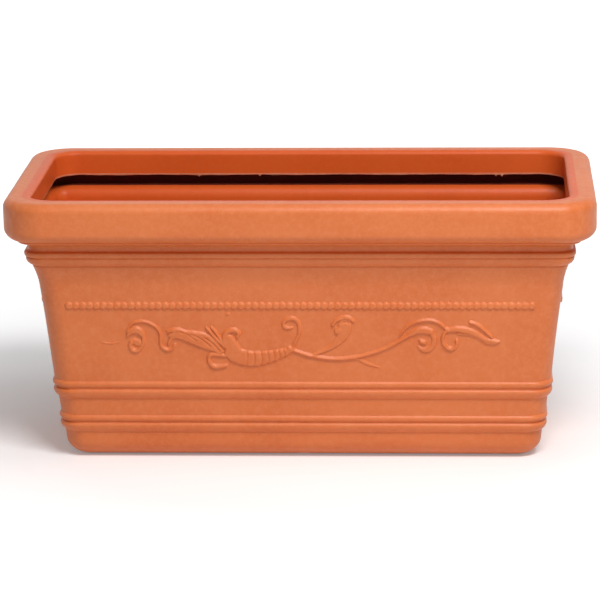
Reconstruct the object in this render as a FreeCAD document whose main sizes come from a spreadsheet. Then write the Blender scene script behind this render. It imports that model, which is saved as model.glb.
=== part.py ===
import FreeCAD, Part
import Sketcher
import math
import os
import re

# Window box planter. Millimetres, +Z up, +X along the length, front face towards -Y.
# The origin is at the middle of the footprint, on the surface that the planter stands on.

doc = FreeCAD.newDocument("window_box_planter")

SIZES = {
    # overall
    "length": 800.0,             # outer face to outer face of the rim
    "depth": 400.0,
    "height": 372.0,
    "wall": 5.0,                 # moulded wall
    # foot and body, insets are measured inwards from the rim's outer face
    "foot_round": 28.0,          # rounding between the wall and the underside
    "foot_inset": 71.5,          # wall at the top of that rounding
    "body_corner": 30.0,         # vertical corner radius of the body
    "wall_top_inset": 44.0,      # wall at the lower end of the cove
    # double beads: bottom, groove and top heights
    "low_bead_bottom": 38.5,
    "low_bead_groove": 54.8,
    "low_bead_top": 66.8,
    "high_bead_bottom": 88.0,
    "high_bead_groove": 104.0,
    "high_bead_top": 117.6,
    "bead_bulge": 3.4,           # how far the lower bead of a pair stands out
    "small_bulge": 2.1,          # the upper bead of a pair
    "band_step": 1.6,            # the wall steps in by this at each pair's groove
    # cove and mouldings, drops are measured down from the top
    "cove_drop": 124.0,
    "fillet_drop": 94.5,
    "step_two_drop": 85.0,
    "step_two_face_drop": 77.0,
    "notch_drop": 72.5,
    "step_one_face_drop": 64.0,
    "crease_drop": 56.5,
    "fillet_inset": 37.6,
    "step_two_inset": 26.9,
    "step_two_round": 7.0,       # rounding under the lower moulding
    "step_one_inset": 23.8,
    "step_one_round": 4.2,
    "notch_depth": 2.0,          # groove above each moulding
    "notch_lip": 1.5,            # height of the edge beside a groove
    "moulding_corner": 22.0,
    # rim
    "rim_under_drop": 55.5,      # lowest point of the rim's rounded underside
    "rim_under_inset": 21.0,
    "rim_face_drop": 34.0,       # where that rounding meets the upright face
    "rim_top_round": 16.0,
    "rim_corner": 60.0,
    "rim_width": 37.0,           # outer face to the inside of the lip
    "lip_drop": 37.0,            # cut lower edge of the lip
    "lip_round": 5.0,            # top inner edge
    "mouth_corner": 36.0,        # corner radius inside the lip
    "shelf_round": 4.0,          # inside edge where the hollow rim opens under the lip
    "shelf_edge": 1.0,           # rounding of that edge
    "shelf_fall": 0.3,           # the shelf falls by this towards its edge
    # underside
    "foot_ring": 22.0,           # width of the ring that touches the ground
    "recess": 4.0,               # the floor's underside is this far off the ground
    "recess_corner": 10.0,
    "corner_shrink": 0.75,       # share of the foot rounding that its corners lose
    "channel_width": 34.0,       # arched drain channel through the foot ring
    "channel_height": 3.9,
    # drain holes and plugs
    "hole_bore": 16.0,
    "hole_spread_x": 225.0,      # from the middle to each hole
    "hole_spread_y": 45.0,
    "plug_gap": 0.3,             # radial clearance of the stem in its hole
    "plug_head": 28.0,
    "plug_head_thick": 3.0,
    "plug_head_edge": 1.0,       # bevel round the head
    "plug_grip": 11.0,
    "plug_grip_high": 7.0,
    "plug_waist": 1.0,           # the grip is drawn in by this at its foot
    "plug_crown": 2.0,           # height of the bevel on the grip
    "plug_bevel": 1.5,           # bevel at the stem's end and across the grip's top
    "plug_below": 2.0,           # stem below the floor
    # drainage grid
    "grid_top": 48.0,
    "grid_thick": 3.5,
    "grid_gap": 2.5,             # all round, to the wall
    "grid_seam": 1.0,            # between the two halves
    "grid_corner": 24.0,
    "finger_notch": 20.0,
    "slot_long": 26.0,
    "slot_wide": 6.0,
    "slot_pitch_x": 44.0,
    "slot_pitch_y": 28.0,
    "grid_foot": 18.0,
    "grid_foot_end": 14.0,
    "grid_foot_spread_x": 131.0,
    "grid_foot_spread_y": 70.0,
    "overcut": 1.0,              # cuts run this far past the faces they open
}

SLOTS_X = 6
SLOTS_Y = 7
FEET_X = 3
FEET_Y = 2
COVE_CURVE = 1.5                 # power of the cove's outline, a straight slope at 1
HOLLOW_CURVE = 1.4               # the same for the hollow behind the cove
ON_AXIS = 1e-6                   # a corner nearer than this lies on the axis

sheet = doc.addObject("Spreadsheet::Sheet", "Sizes")
for row, (alias, value) in enumerate(SIZES.items(), start=1):
    sheet.set("A%d" % row, alias)
    sheet.set("B%d" % row, str(value))
    sheet.setAlias("B%d" % row, alias)

# Sizes that follow from the ones above.
DERIVED = {
    "floor_top": "recess + wall",
    "foot_inner": "foot_inset + wall",
    "wall_inner_top": "wall_top_inset + wall",
    "cove_level": "height - cove_drop",
    "inner_slope": "(foot_inner - wall_inner_top) / (cove_level - foot_round)",
    "outer_slope": "(foot_inset - band_step * 2 - wall_top_inset) / (cove_level - foot_round)",
    "grid_under": "grid_top - grid_thick",
    "wall_at_grid": "foot_inner - inner_slope * (grid_under - foot_round)",
    "grid_half_depth": "depth / 2 - wall_at_grid - grid_gap",
    "grid_end": "length / 2 - wall_at_grid - grid_gap",
    "grid_middle": "(grid_seam / 2 + grid_end) / 2",
    "inner_foot_round": "foot_round - wall",
    "floor_angle": "asin((foot_round - floor_top) / inner_foot_round)",
}
for row, (alias, formula) in enumerate(DERIVED.items(), start=len(SIZES) + 1):
    sheet.set("A%d" % row, alias)
    sheet.set("B%d" % row, "=" + formula)
    sheet.setAlias("B%d" % row, alias)
doc.recompute()


def bound(text):
    """Expression text with every size name pointed at the sheet."""
    return re.sub(r"[a-z_]{2,}", lambda match: qualified(match.group()), text)


def qualified(word):
    return "Sizes." + word if word in SIZES or word in DERIVED else word


def value_of(text):
    result = sheet.evalExpression(bound(text))
    return float(getattr(result, "Value", result))


def new_body(name):
    body = doc.addObject("PartDesign::Body", name)
    body.Label = name
    return body


def origin_feature(body, role):
    return next(f for f in body.Origin.OriginFeatures if f.Role == role)


def new_sketch(body, name, plane="XY_Plane", level="0"):
    sketch = body.newObject("Sketcher::SketchObject", name)
    sketch.AttachmentSupport = [(origin_feature(body, plane), "")]
    sketch.MapMode = "FlatFace"
    sketch.setExpression("AttachmentOffset.Base.z", bound(level))
    return sketch


def drive(sketch, kind, elements, name, text):
    """A named dimension bound to the sheet."""
    index = sketch.addConstraint(constraint(kind, elements, value_of(text)))
    sketch.renameConstraint(index, name)
    sketch.setExpression("Constraints." + name, bound(text))


def constraint(kind, elements, value=None):
    if value is None:
        return Sketcher.Constraint(kind, *elements)
    return Sketcher.Constraint(kind, *elements, value)


def vec(x, y, z=0.0):
    return FreeCAD.Vector(x, y, z)


def quarter_arc(cx, cy, radius, start_degrees):
    start = math.radians(start_degrees)
    circle = Part.Circle(vec(cx, cy), vec(0, 0, 1), radius)
    return Part.ArcOfCircle(circle, start, start + math.pi / 2)


def ring(body, name, level, inset, corner):
    """Rounded rectangle, drawn in by inset from the rim's outer face, at a height."""
    half_x = value_of("length / 2 - (%s)" % inset)
    half_y = value_of("depth / 2 - (%s)" % inset)
    radius = value_of(corner)
    cx = half_x - radius
    cy = half_y - radius
    sketch = new_sketch(body, name, level=level)
    sketch.addGeometry([
        Part.LineSegment(vec(-cx, -half_y), vec(cx, -half_y)),
        quarter_arc(cx, -cy, radius, 270),
        Part.LineSegment(vec(half_x, -cy), vec(half_x, cy)),
        quarter_arc(cx, cy, radius, 0),
        Part.LineSegment(vec(cx, half_y), vec(-cx, half_y)),
        quarter_arc(-cx, cy, radius, 90),
        Part.LineSegment(vec(-half_x, cy), vec(-half_x, -cy)),
        quarter_arc(-cx, -cy, radius, 180),
    ])
    for edge in range(8):
        sketch.addConstraint(constraint("Tangent", (edge, 2, (edge + 1) % 8, 1)))
    for edge, kind in ((0, "Horizontal"), (2, "Vertical"), (4, "Horizontal"), (6, "Vertical")):
        sketch.addConstraint(constraint(kind, (edge,)))
    for arc in (3, 5, 7):
        sketch.addConstraint(constraint("Equal", (1, arc)))
    sketch.addConstraint(constraint("Symmetric", (1, 3, 5, 3, -1, 1)))
    drive(sketch, "DistanceX", (-1, 1, 2, 1), "half_length", "length / 2 - (%s)" % inset)
    drive(sketch, "DistanceY", (-1, 1, 4, 1), "half_depth", "depth / 2 - (%s)" % inset)
    drive(sketch, "Radius", (1,), "corner", corner)
    return sketch


def loft(body, kind, name, stations):
    """Straight-ruled loft through rings: (height, inset, corner) texts, bottom to top."""
    rings = []
    for number, (level, inset, corner) in enumerate(stations):
        rings.append(ring(body, "%s_ring_%02d" % (name, number), level, inset, corner))
    feature = body.newObject("PartDesign::" + kind, name)
    feature.Profile = (rings[0], [""])
    feature.Sections = [(section, [""]) for section in rings[1:]]
    feature.Ruled = True
    doc.recompute()


def quarter(centre_level, centre_inset, rise, reach, corner, angles):
    """Stations on a quarter ellipse; angle 0 is its outermost point, 90 its top or bottom."""
    stations = []
    for angle in angles:
        level = "%s + (%s) * sin(%g deg)" % (centre_level, rise, angle)
        inset = "%s - (%s) * cos(%g deg)" % (centre_inset, reach, angle)
        stations.append((level, inset, corner(angle)))
    return stations


def bead(bottom, top, bottom_inset, top_inset, bulge, corner):
    """Stations of a half-round bead between two heights, ends left out."""
    stations = []
    for share in (0.2, 0.5, 0.8):
        level = "%s + (%s - %s) * %g" % (bottom, top, bottom, share)
        inset = "%s + (%s - (%s)) * %g - %s * sin(%g deg)" % (
            bottom_inset, top_inset, bottom_inset, share, bulge, 180 * share)
        stations.append((level, inset, corner))
    return stations


def wall_line(level, steps):
    """Inset of the tapering outer wall at a height, above none, one or two bead pairs."""
    return "foot_inset - band_step * %d - outer_slope * (%s - foot_round)" % (steps, level)


def under_corner(angle, thickness):
    """Corner radius along the rim's rounded underside, tight at its lowest point."""
    share = 1 - math.cos(math.radians(angle))
    return "rim_corner - %s + (moulding_corner - rim_corner) * %g" % (thickness, share)


def outer_stations():
    body = "body_corner"
    moulding = "moulding_corner"
    stations = []
    for angle in (-90, -67.5, -45, -22.5, 0):
        level = "foot_round + foot_round * sin(%g deg)" % angle
        inset = "foot_inset + foot_round * (1 - cos(%g deg))" % angle
        corner = "body_corner - corner_shrink * foot_round * (1 - cos(%g deg))" % angle
        stations.append((level, inset, corner))
    for pair, steps in (("low", 0), ("high", 1)):
        bottom = "%s_bead_bottom" % pair
        groove = "%s_bead_groove" % pair
        top = "%s_bead_top" % pair
        under = wall_line(bottom, steps)
        middle = wall_line(groove, steps + 1)
        above = wall_line(top, steps + 1)
        stations.append((bottom, under, body))
        stations += bead(bottom, groove, under, middle, "bead_bulge", body)
        stations.append((groove, middle, body))
        stations += bead(groove, top, middle, above, "small_bulge", body)
        stations.append((top, above, body))
    stations.append(("cove_level", "wall_top_inset", body))
    for share in (0.25, 0.5, 0.75, 1.0):
        level = "cove_level + (cove_drop - fillet_drop) * %g" % share
        inset = "wall_top_inset - (wall_top_inset - fillet_inset) * %g" % share ** COVE_CURVE
        corner = "body_corner + (moulding_corner - body_corner) * %g" % share
        stations.append((level, inset, corner))
    stations += quarter("height - step_two_face_drop", "step_two_inset + step_two_round",
                        "step_two_drop - step_two_face_drop", "step_two_round",
                        lambda angle: moulding, (-90, -60, -30, 0))
    stations.append(("height - notch_drop - notch_lip", "step_two_inset", moulding))
    stations.append(("height - notch_drop", "step_two_inset + notch_depth", moulding))
    stations += quarter("height - step_one_face_drop", "step_one_inset + step_one_round",
                        "notch_drop - step_one_face_drop - notch_lip", "step_one_round",
                        lambda angle: moulding, (-90, -45, 0))
    stations.append(("height - crease_drop - notch_lip", "step_one_inset", moulding))
    stations.append(("height - crease_drop", "step_one_inset + notch_depth", moulding))
    stations += quarter("height - rim_face_drop", "rim_under_inset", "rim_under_drop - rim_face_drop",
                        "rim_under_inset", lambda angle: under_corner(angle, "0"),
                        (-90, -67.5, -45, -22.5, 0))
    stations += quarter("height - rim_top_round", "rim_top_round", "rim_top_round", "rim_top_round",
                        lambda angle: "rim_corner - rim_top_round * (1 - cos(%g deg))" % angle,
                        (0, 22.5, 45, 67.5, 90))
    return stations


def inner_stations():
    """The hollow inside the walls, up into the rim, closed under the rim's top."""
    body = "body_corner - wall"
    moulding = "moulding_corner - wall"
    stations = [("floor_top", "foot_inner + inner_foot_round * (1 - cos(floor_angle))",
                 "body_corner - wall - corner_shrink * inner_foot_round * (1 - cos(floor_angle))")]
    for share in (0.66, 0.33, 0.0):
        level = "foot_round - inner_foot_round * sin(floor_angle * %g)" % share
        inset = "foot_inner + inner_foot_round * (1 - cos(floor_angle * %g))" % share
        corner = ("body_corner - wall - corner_shrink * inner_foot_round"
                  " * (1 - cos(floor_angle * %g))" % share)
        stations.append((level, inset, corner))
    stations.append(("cove_level", "wall_inner_top", body))
    for share in (0.5, 1.0):
        level = "cove_level + (cove_drop - step_two_drop) * %g" % share
        inset = ("wall_inner_top - (wall_inner_top - fillet_inset - wall / 2) * %g"
                 % share ** HOLLOW_CURVE)
        corner = "body_corner - wall + (moulding_corner - body_corner) * %g" % share
        stations.append((level, inset, corner))
    stations.append(("height - notch_drop", "step_two_inset + notch_depth + wall", moulding))
    shelf = "step_one_inset + notch_depth + wall"
    stations.append(("height - crease_drop", shelf + " + shelf_edge", moulding))
    stations.append(("height - rim_under_drop + wall - shelf_edge", shelf + " - shelf_edge", moulding))
    stations.append(("height - rim_under_drop + wall - shelf_fall", shelf + " - shelf_round", moulding))
    stations += quarter("height - rim_face_drop", "rim_under_inset",
                        "rim_under_drop - rim_face_drop - wall", "rim_under_inset - wall",
                        lambda angle: under_corner(angle, "wall"), (-90, -60, -30, 0))
    stations += quarter("height - rim_top_round", "rim_top_round", "rim_top_round - wall",
                        "rim_top_round - wall",
                        lambda angle: "rim_corner - wall - (rim_top_round - wall) * (1 - cos(%g deg))"
                        % angle, (0, 30, 60, 90))
    return stations


def planter_shell():
    """One hollow moulding: walls, mouldings, hollow rim with its hanging lip, and the foot."""
    body = new_body("planter_shell")
    loft(body, "AdditiveLoft", "outside", outer_stations())
    loft(body, "SubtractiveLoft", "inside", inner_stations())

    lip = ring(body, "lip_outline", "height - lip_drop", "rim_width - wall", "mouth_corner + wall")
    lip_pad = body.newObject("PartDesign::Pad", "lip")
    lip_pad.Profile = lip
    lip_pad.setExpression("Length", bound("lip_drop - wall / 2"))
    doc.recompute()

    mouth = [("height - lip_drop - overcut", "rim_width", "mouth_corner")]
    for angle in (0, 30, 60, 90):
        level = "height - lip_round + lip_round * sin(%g deg)" % angle
        inset = "rim_width - lip_round * (1 - cos(%g deg))" % angle
        corner = "mouth_corner + lip_round * (1 - cos(%g deg))" % angle
        mouth.append((level, inset, corner))
    loft(body, "SubtractiveLoft", "mouth", mouth)

    recess = ring(body, "recess_outline", "0", "foot_inset + foot_round + foot_ring", "recess_corner")
    pocket = body.newObject("PartDesign::Pocket", "underside_recess")
    pocket.Profile = recess
    pocket.Reversed = True
    pocket.setExpression("Length", bound("recess"))
    doc.recompute()

    channel(body)
    drain_holes(body)
    return body


def channel(body):
    """Arched channel through the foot ring, front to back, that lets water out from under."""
    sketch = new_sketch(body, "channel_outline", plane="XZ_Plane")
    half = value_of("channel_width / 2")
    high = value_of("channel_height")
    sketch.addGeometry([
        Part.LineSegment(vec(-half, 0), vec(half, 0)),
        Part.Arc(vec(half, 0), vec(0, high), vec(-half, 0)),
    ])
    sketch.addConstraint(constraint("Coincident", (0, 1, 1, 2)))
    sketch.addConstraint(constraint("Coincident", (0, 2, 1, 1)))
    sketch.addConstraint(constraint("Symmetric", (0, 1, 0, 2, -1, 1)))
    sketch.addConstraint(constraint("Horizontal", (0,)))
    drive(sketch, "DistanceX", (0, 1, 0, 2), "chord", "channel_width")
    drive(sketch, "Radius", (1,), "arch",
          "(channel_width ^ 2 / 4 + channel_height ^ 2) / (2 * channel_height)")
    cut = body.newObject("PartDesign::Pocket", "drain_channel")
    cut.Profile = sketch
    cut.Midplane = True
    cut.setExpression("Length", bound("depth"))
    doc.recompute()


def drain_holes(body):
    sketch = new_sketch(body, "hole_outline")
    sketch.addGeometry(Part.Circle(vec(value_of("hole_spread_x"), value_of("hole_spread_y")),
                                   vec(0, 0, 1), value_of("hole_bore / 2")))
    drive(sketch, "DistanceX", (-1, 1, 0, 3), "across", "hole_spread_x")
    drive(sketch, "DistanceY", (-1, 1, 0, 3), "along", "hole_spread_y")
    drive(sketch, "Diameter", (0,), "bore", "hole_bore")
    cut = body.newObject("PartDesign::Pocket", "drain_hole")
    cut.Profile = sketch
    cut.Reversed = True
    cut.setExpression("Length", bound("floor_top + overcut"))
    doc.recompute()
    pattern(body, cut, "drain_hole_pattern",
            (("across", "X_Axis", "2 * hole_spread_x", 2, True),
             ("along", "Y_Axis", "2 * hole_spread_y", 2, True)))


def pattern(body, feature, name, directions):
    """Rows of copies of a feature: (name, axis, length text, count, reversed)."""
    multi = body.newObject("PartDesign::MultiTransform", name)
    multi.Originals = [feature]
    rows = []
    for label, axis, length, count, backwards in directions:
        row = body.newObject("PartDesign::LinearPattern", "%s_%s" % (name, label))
        row.Direction = (origin_feature(body, axis), [""])
        row.Reversed = backwards
        row.Occurrences = count
        row.setExpression("Length", bound(length))
        rows.append(row)
    multi.Transformations = rows
    body.Tip = multi
    doc.recompute()


def revolved(body, name, points):
    """Solid of revolution about Z from (radius text, height text) corners, on the XZ plane."""
    sketch = new_sketch(body, name + "_outline", plane="XZ_Plane")
    corners = [(value_of(radius), value_of(level)) for radius, level in points]
    count = len(corners)
    for index in range(count):
        x0, z0 = corners[index]
        x1, z1 = corners[(index + 1) % count]
        sketch.addGeometry(Part.LineSegment(vec(x0, z0), vec(x1, z1)))
    for index in range(count):
        sketch.addConstraint(constraint("Coincident", (index, 2, (index + 1) % count, 1)))
    for index, (radius, level) in enumerate(points):
        if abs(corners[index][0]) < ON_AXIS:
            sketch.addConstraint(constraint("PointOnObject", (index, 1, -2)))
        else:
            drive(sketch, "DistanceX", (-1, 1, index, 1), "radius_%d" % index, radius)
        if abs(corners[index][1]) < ON_AXIS:
            sketch.addConstraint(constraint("PointOnObject", (index, 1, -1)))
        else:
            drive(sketch, "DistanceY", (-1, 1, index, 1), "level_%d" % index, level)
    turn = body.newObject("PartDesign::Revolution", name)
    turn.Profile = sketch
    turn.ReferenceAxis = (sketch, ["V_Axis"])
    turn.Angle = 360
    doc.recompute()


def drain_plug(name, side_x, side_y):
    """Push-in plug: head on the floor, stem in the hole, grip on top. Its own zero is the floor."""
    body = new_body(name)
    stem = "hole_bore / 2 - plug_gap"
    revolved(body, name + "_turned", (
        ("0", "0 - wall - plug_below"),
        (stem + " - plug_bevel", "0 - wall - plug_below"),
        (stem, "plug_bevel - wall - plug_below"),
        (stem, "0"),
        ("plug_head / 2", "0"),
        ("plug_head / 2", "plug_head_thick - plug_head_edge"),
        ("plug_head / 2 - plug_head_edge", "plug_head_thick"),
        ("plug_grip / 2 - plug_waist", "plug_head_thick"),
        ("plug_grip / 2", "plug_head_thick + plug_grip_high - plug_crown"),
        ("plug_grip / 2 - plug_bevel", "plug_head_thick + plug_grip_high"),
        ("0", "plug_head_thick + plug_grip_high"),
    ))
    body.setExpression("Placement.Base.x", bound("hole_spread_x * %d" % side_x))
    body.setExpression("Placement.Base.y", bound("hole_spread_y * %d" % side_y))
    body.setExpression("Placement.Base.z", bound("floor_top"))
    return body


def grid_outline(body):
    """Half plate: straight seam edge with a finger notch, two round corners at the far end."""
    near = value_of("grid_seam / 2")
    far = value_of("grid_end")
    half = value_of("grid_half_depth")
    radius = value_of("grid_corner")
    notch = value_of("finger_notch")
    sketch = new_sketch(body, body.Name + "_outline", level="grid_under")
    sketch.addGeometry([
        Part.LineSegment(vec(near, -half), vec(far - radius, -half)),
        quarter_arc(far - radius, radius - half, radius, 270),
        Part.LineSegment(vec(far, radius - half), vec(far, half - radius)),
        quarter_arc(far - radius, half - radius, radius, 0),
        Part.LineSegment(vec(far - radius, half), vec(near, half)),
        Part.LineSegment(vec(near, half), vec(near, notch)),
        Part.Arc(vec(near, notch), vec(near + notch, 0), vec(near, -notch)),
        Part.LineSegment(vec(near, -notch), vec(near, -half)),
    ])
    for edge in range(4):
        sketch.addConstraint(constraint("Tangent", (edge, 2, edge + 1, 1)))
    sketch.addConstraint(constraint("Coincident", (4, 2, 5, 1)))
    sketch.addConstraint(constraint("Coincident", (5, 2, 6, 2)))
    sketch.addConstraint(constraint("Coincident", (6, 1, 7, 1)))
    sketch.addConstraint(constraint("Coincident", (7, 2, 0, 1)))
    for edge, kind in ((0, "Horizontal"), (2, "Vertical"), (4, "Horizontal"),
                       (5, "Vertical"), (7, "Vertical")):
        sketch.addConstraint(constraint(kind, (edge,)))
    sketch.addConstraint(constraint("Equal", (1, 3)))
    sketch.addConstraint(constraint("Symmetric", (0, 1, 4, 2, -1)))
    sketch.addConstraint(constraint("PointOnObject", (6, 3, -1)))
    sketch.addConstraint(constraint("Vertical", (6, 3, 5, 2)))
    drive(sketch, "DistanceX", (-1, 1, 5, 1), "seam", "grid_seam / 2")
    drive(sketch, "DistanceX", (-1, 1, 2, 1), "far_end", "grid_end")
    drive(sketch, "DistanceY", (-1, 1, 4, 2), "half_depth", "grid_half_depth")
    drive(sketch, "Radius", (1,), "corner", "grid_corner")
    drive(sketch, "Radius", (6,), "notch", "finger_notch")
    return sketch


def slot_outline(body, level):
    """First slot of the pattern, at the seam end and the front."""
    cx = value_of("grid_middle") - value_of("slot_pitch_x") * (SLOTS_X - 1) / 2
    cy = -value_of("slot_pitch_y") * (SLOTS_Y - 1) / 2
    half = value_of("(slot_long - slot_wide) / 2")
    radius = value_of("slot_wide / 2")
    sketch = new_sketch(body, body.Name + "_slot_outline", level=level)
    sketch.addGeometry([
        Part.LineSegment(vec(cx - half, cy - radius), vec(cx + half, cy - radius)),
        Part.Arc(vec(cx + half, cy - radius), vec(cx + half + radius, cy), vec(cx + half, cy + radius)),
        Part.LineSegment(vec(cx + half, cy + radius), vec(cx - half, cy + radius)),
        Part.Arc(vec(cx - half, cy + radius), vec(cx - half - radius, cy), vec(cx - half, cy - radius)),
    ])
    for edge in range(4):
        sketch.addConstraint(constraint("Tangent", (edge, 2, (edge + 1) % 4, 1)))
    sketch.addConstraint(constraint("Horizontal", (0,)))
    drive(sketch, "Radius", (1,), "end", "slot_wide / 2")
    drive(sketch, "DistanceX", (3, 3, 1, 3), "straight", "slot_long - slot_wide")
    drive(sketch, "DistanceX", (-1, 1, 3, 3), "first_x",
          "grid_middle - slot_pitch_x * %g - (slot_long - slot_wide) / 2" % ((SLOTS_X - 1) / 2))
    drive(sketch, "DistanceY", (3, 3, -1, 1), "first_y", "slot_pitch_y * %g" % ((SLOTS_Y - 1) / 2))
    return sketch


def drainage_grid(name, turn):
    """Perforated half of the raised false floor, on six tapered feet."""
    body = new_body(name)
    plate = body.newObject("PartDesign::Pad", name + "_plate")
    plate.Profile = grid_outline(body)
    plate.setExpression("Length", bound("grid_thick"))
    doc.recompute()

    cone = body.newObject("PartDesign::AdditiveCone", name + "_foot")
    cone.AttachmentSupport = [(origin_feature(body, "XY_Plane"), "")]
    cone.MapMode = "FlatFace"
    cone.setExpression("Radius1", bound("grid_foot_end / 2"))
    cone.setExpression("Radius2", bound("grid_foot / 2"))
    cone.setExpression("Height", bound("grid_under - floor_top"))
    cone.setExpression("AttachmentOffset.Base.x", bound("grid_middle - grid_foot_spread_x"))
    cone.setExpression("AttachmentOffset.Base.y", bound("0 - grid_foot_spread_y"))
    cone.setExpression("AttachmentOffset.Base.z", bound("floor_top"))
    doc.recompute()
    pattern(body, cone, name + "_feet",
            (("across", "X_Axis", "2 * grid_foot_spread_x", FEET_X, False),
             ("along", "Y_Axis", "2 * grid_foot_spread_y", FEET_Y, False)))

    slot = body.newObject("PartDesign::Pocket", name + "_slot")
    slot.Profile = slot_outline(body, "grid_top")
    slot.setExpression("Length", bound("grid_thick"))
    doc.recompute()
    pattern(body, slot, name + "_slots",
            (("across", "X_Axis", "slot_pitch_x * %d" % (SLOTS_X - 1), SLOTS_X, False),
             ("along", "Y_Axis", "slot_pitch_y * %d" % (SLOTS_Y - 1), SLOTS_Y, False)))
    body.Placement = FreeCAD.Placement(vec(0, 0), FreeCAD.Rotation(vec(0, 0, 1), turn))
    return body


def check(bodies):
    doc.recompute()
    for item in doc.Objects:
        if "Invalid" in item.State or "Error" in item.State:
            raise RuntimeError("%s is %s" % (item.Name, item.State))
    for body in bodies:
        shape = body.Shape
        if shape.isNull() or not shape.isValid():
            raise RuntimeError("%s has no valid shape" % body.Label)
        box = shape.BoundBox
        print("%s: %d solid, %.1f cm3, z %.2f to %.2f, x %.1f to %.1f, y %.1f to %.1f" % (
            body.Label, len(shape.Solids), shape.Volume / 1000, box.ZMin, box.ZMax,
            box.XMin, box.XMax, box.YMin, box.YMax))


def build():
    bodies = [planter_shell()]
    for row, side_y in (("front", -1), ("back", 1)):
        for column, side_x in (("left", -1), ("right", 1)):
            bodies.append(drain_plug("drain_plug_%s_%s" % (row, column), side_x, side_y))
    bodies.append(drainage_grid("drainage_grid_right", 0))
    bodies.append(drainage_grid("drainage_grid_left", 180))
    check(bodies)
    os.makedirs("parts", exist_ok=True)
    for body in bodies:
        body.Shape.exportStep("parts/%s.step" % body.Label)


build()
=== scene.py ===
import math

import bpy
import numpy as np
from mathutils import Matrix, Vector


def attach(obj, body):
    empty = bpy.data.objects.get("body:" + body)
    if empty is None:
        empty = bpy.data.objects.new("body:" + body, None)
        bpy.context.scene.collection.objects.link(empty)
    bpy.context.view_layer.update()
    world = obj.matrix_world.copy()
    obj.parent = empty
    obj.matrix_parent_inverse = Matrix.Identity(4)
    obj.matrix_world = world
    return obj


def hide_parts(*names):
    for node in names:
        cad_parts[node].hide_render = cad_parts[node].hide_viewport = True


# Window box planter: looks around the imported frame. Sizes are written in millimetres and turned
# into metres where a mesh is made. The front face looks towards -Y. A level is a height above the
# ground, and an inset is a distance in from the planter's outer box.

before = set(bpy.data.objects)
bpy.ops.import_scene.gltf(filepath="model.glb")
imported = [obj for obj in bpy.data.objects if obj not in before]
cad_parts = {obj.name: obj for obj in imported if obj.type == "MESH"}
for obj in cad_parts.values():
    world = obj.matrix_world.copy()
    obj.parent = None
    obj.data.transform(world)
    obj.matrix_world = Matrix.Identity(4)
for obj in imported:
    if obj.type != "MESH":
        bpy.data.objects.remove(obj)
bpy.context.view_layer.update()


MM = 0.001
LENGTH = 800.0
DEPTH = 400.0
HEIGHT = 372.0
WALL = 5.0

# Foot, underside and wall. ROWS of a straight stretch are its first and last level and a count.
FOOT_ROUND = 28.0
FOOT_INSET = 71.5
FOOT_REACH = 33.0
RECESS = 4.0
RECESS_INSET = 121.5
RECESS_CORNER = 10.0
RECESS_CHAMFER = 0.6
CORNER_SHRINK = 0.75
BODY_CORNER = 30.0
INNER_CORNER = 25.0
WALL_HOLLOW = 0.5
WALL_HOLLOW_SPAN = (118.0, 244.0)
WALL_ROWS = (126, 244, 16)
INNER_WALL_ROWS = (238, 38, 15)
FLOOR_ROWS = 9

# Cove between the wall and the mouldings, outside and inside.
COVE_LEVEL = 248.0
COVE_INSET = 44.0
COVE_RISE = 29.5
COVE_REACH = 6.4
COVE_POWER = 1.5
COVE_ROWS = 12
INNER_COVE_RISE = 39.0
INNER_COVE_REACH = 8.9
INNER_COVE_POWER = 1.4
INNER_COVE_ROWS = 9

# Bands: the two double beads round the wall, each as (lower edge, groove, upper edge). Above each
# the wall stands BAND_STEP further out.
BANDS = ((38.3, 54.4, 63.4), (87.4, 103.7, 113.4))
BAND_STEP = 1.6
BAND_MARGIN = 1.2
GROOVE_WIDTH = 1.8
LOWER_BULGE = 3.6
UPPER_BULGE = 2.8
BAND_EDGE = 5.0
EDGE_POWER = 2.1
FADE_POWER = 2.4
FADE_FLATTEN = 0.8
BAND_SHARES = (0.012, 0.03, 0.06, 0.10, 0.16, 0.24, 0.34, 0.46, 0.58, 0.68, 0.76, 0.82, 0.87,
               0.91, 0.94, 0.965, 0.983, 0.994)

# Rim, lip and the hollow between them.
MOULDING_CORNER = 22.0
RIM_ROUND = 13.0
RIM_CORNER = 60.0
LIP_INSIDE = 37.0
LIP_CORNER = 36.0
LIP_ROUND = 6.0
LIP_TURN = 7.0
LIP_ROWS = 10
LIP_CUT = 337.1
CUT_FACE = 2.9
CUT_REACH = 1.5
HOLLOW_RIM_CORNER = 55.0
HOLLOW_CORNER = 17.0
ROLL_TOP = 320.6

# Arcs of the profile: centre level, centre inset, rise, reach, first and last angle, rows.
FOOT_ARC = (FOOT_ROUND, FOOT_INSET + FOOT_REACH, FOOT_ROUND, FOOT_REACH, -90, 0, 15)
RIM_LOW_ARC = (331.0, 21.0, 14.8, 21.0, -86, 0, 17)
RIM_TOP_ARC = (HEIGHT - RIM_ROUND, RIM_ROUND, RIM_ROUND, RIM_ROUND, 0, 90, 15)
LIP_ARC = (HEIGHT - LIP_ROUND, LIP_INSIDE - LIP_TURN, LIP_ROUND, -LIP_TURN, 90, 0, LIP_ROWS)
HOLLOW_TOP_ARC = (356.0, 16.0, 11.0, 11.0, 90, 0, 8)
HOLLOW_LOW_ARC = (338.0, 21.0, 16.5, 16.0, 0, -88, 9)
SHELF_ARC = (302.5, 20.0, 18.0, -15.2, 0, 74, 13)

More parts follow.
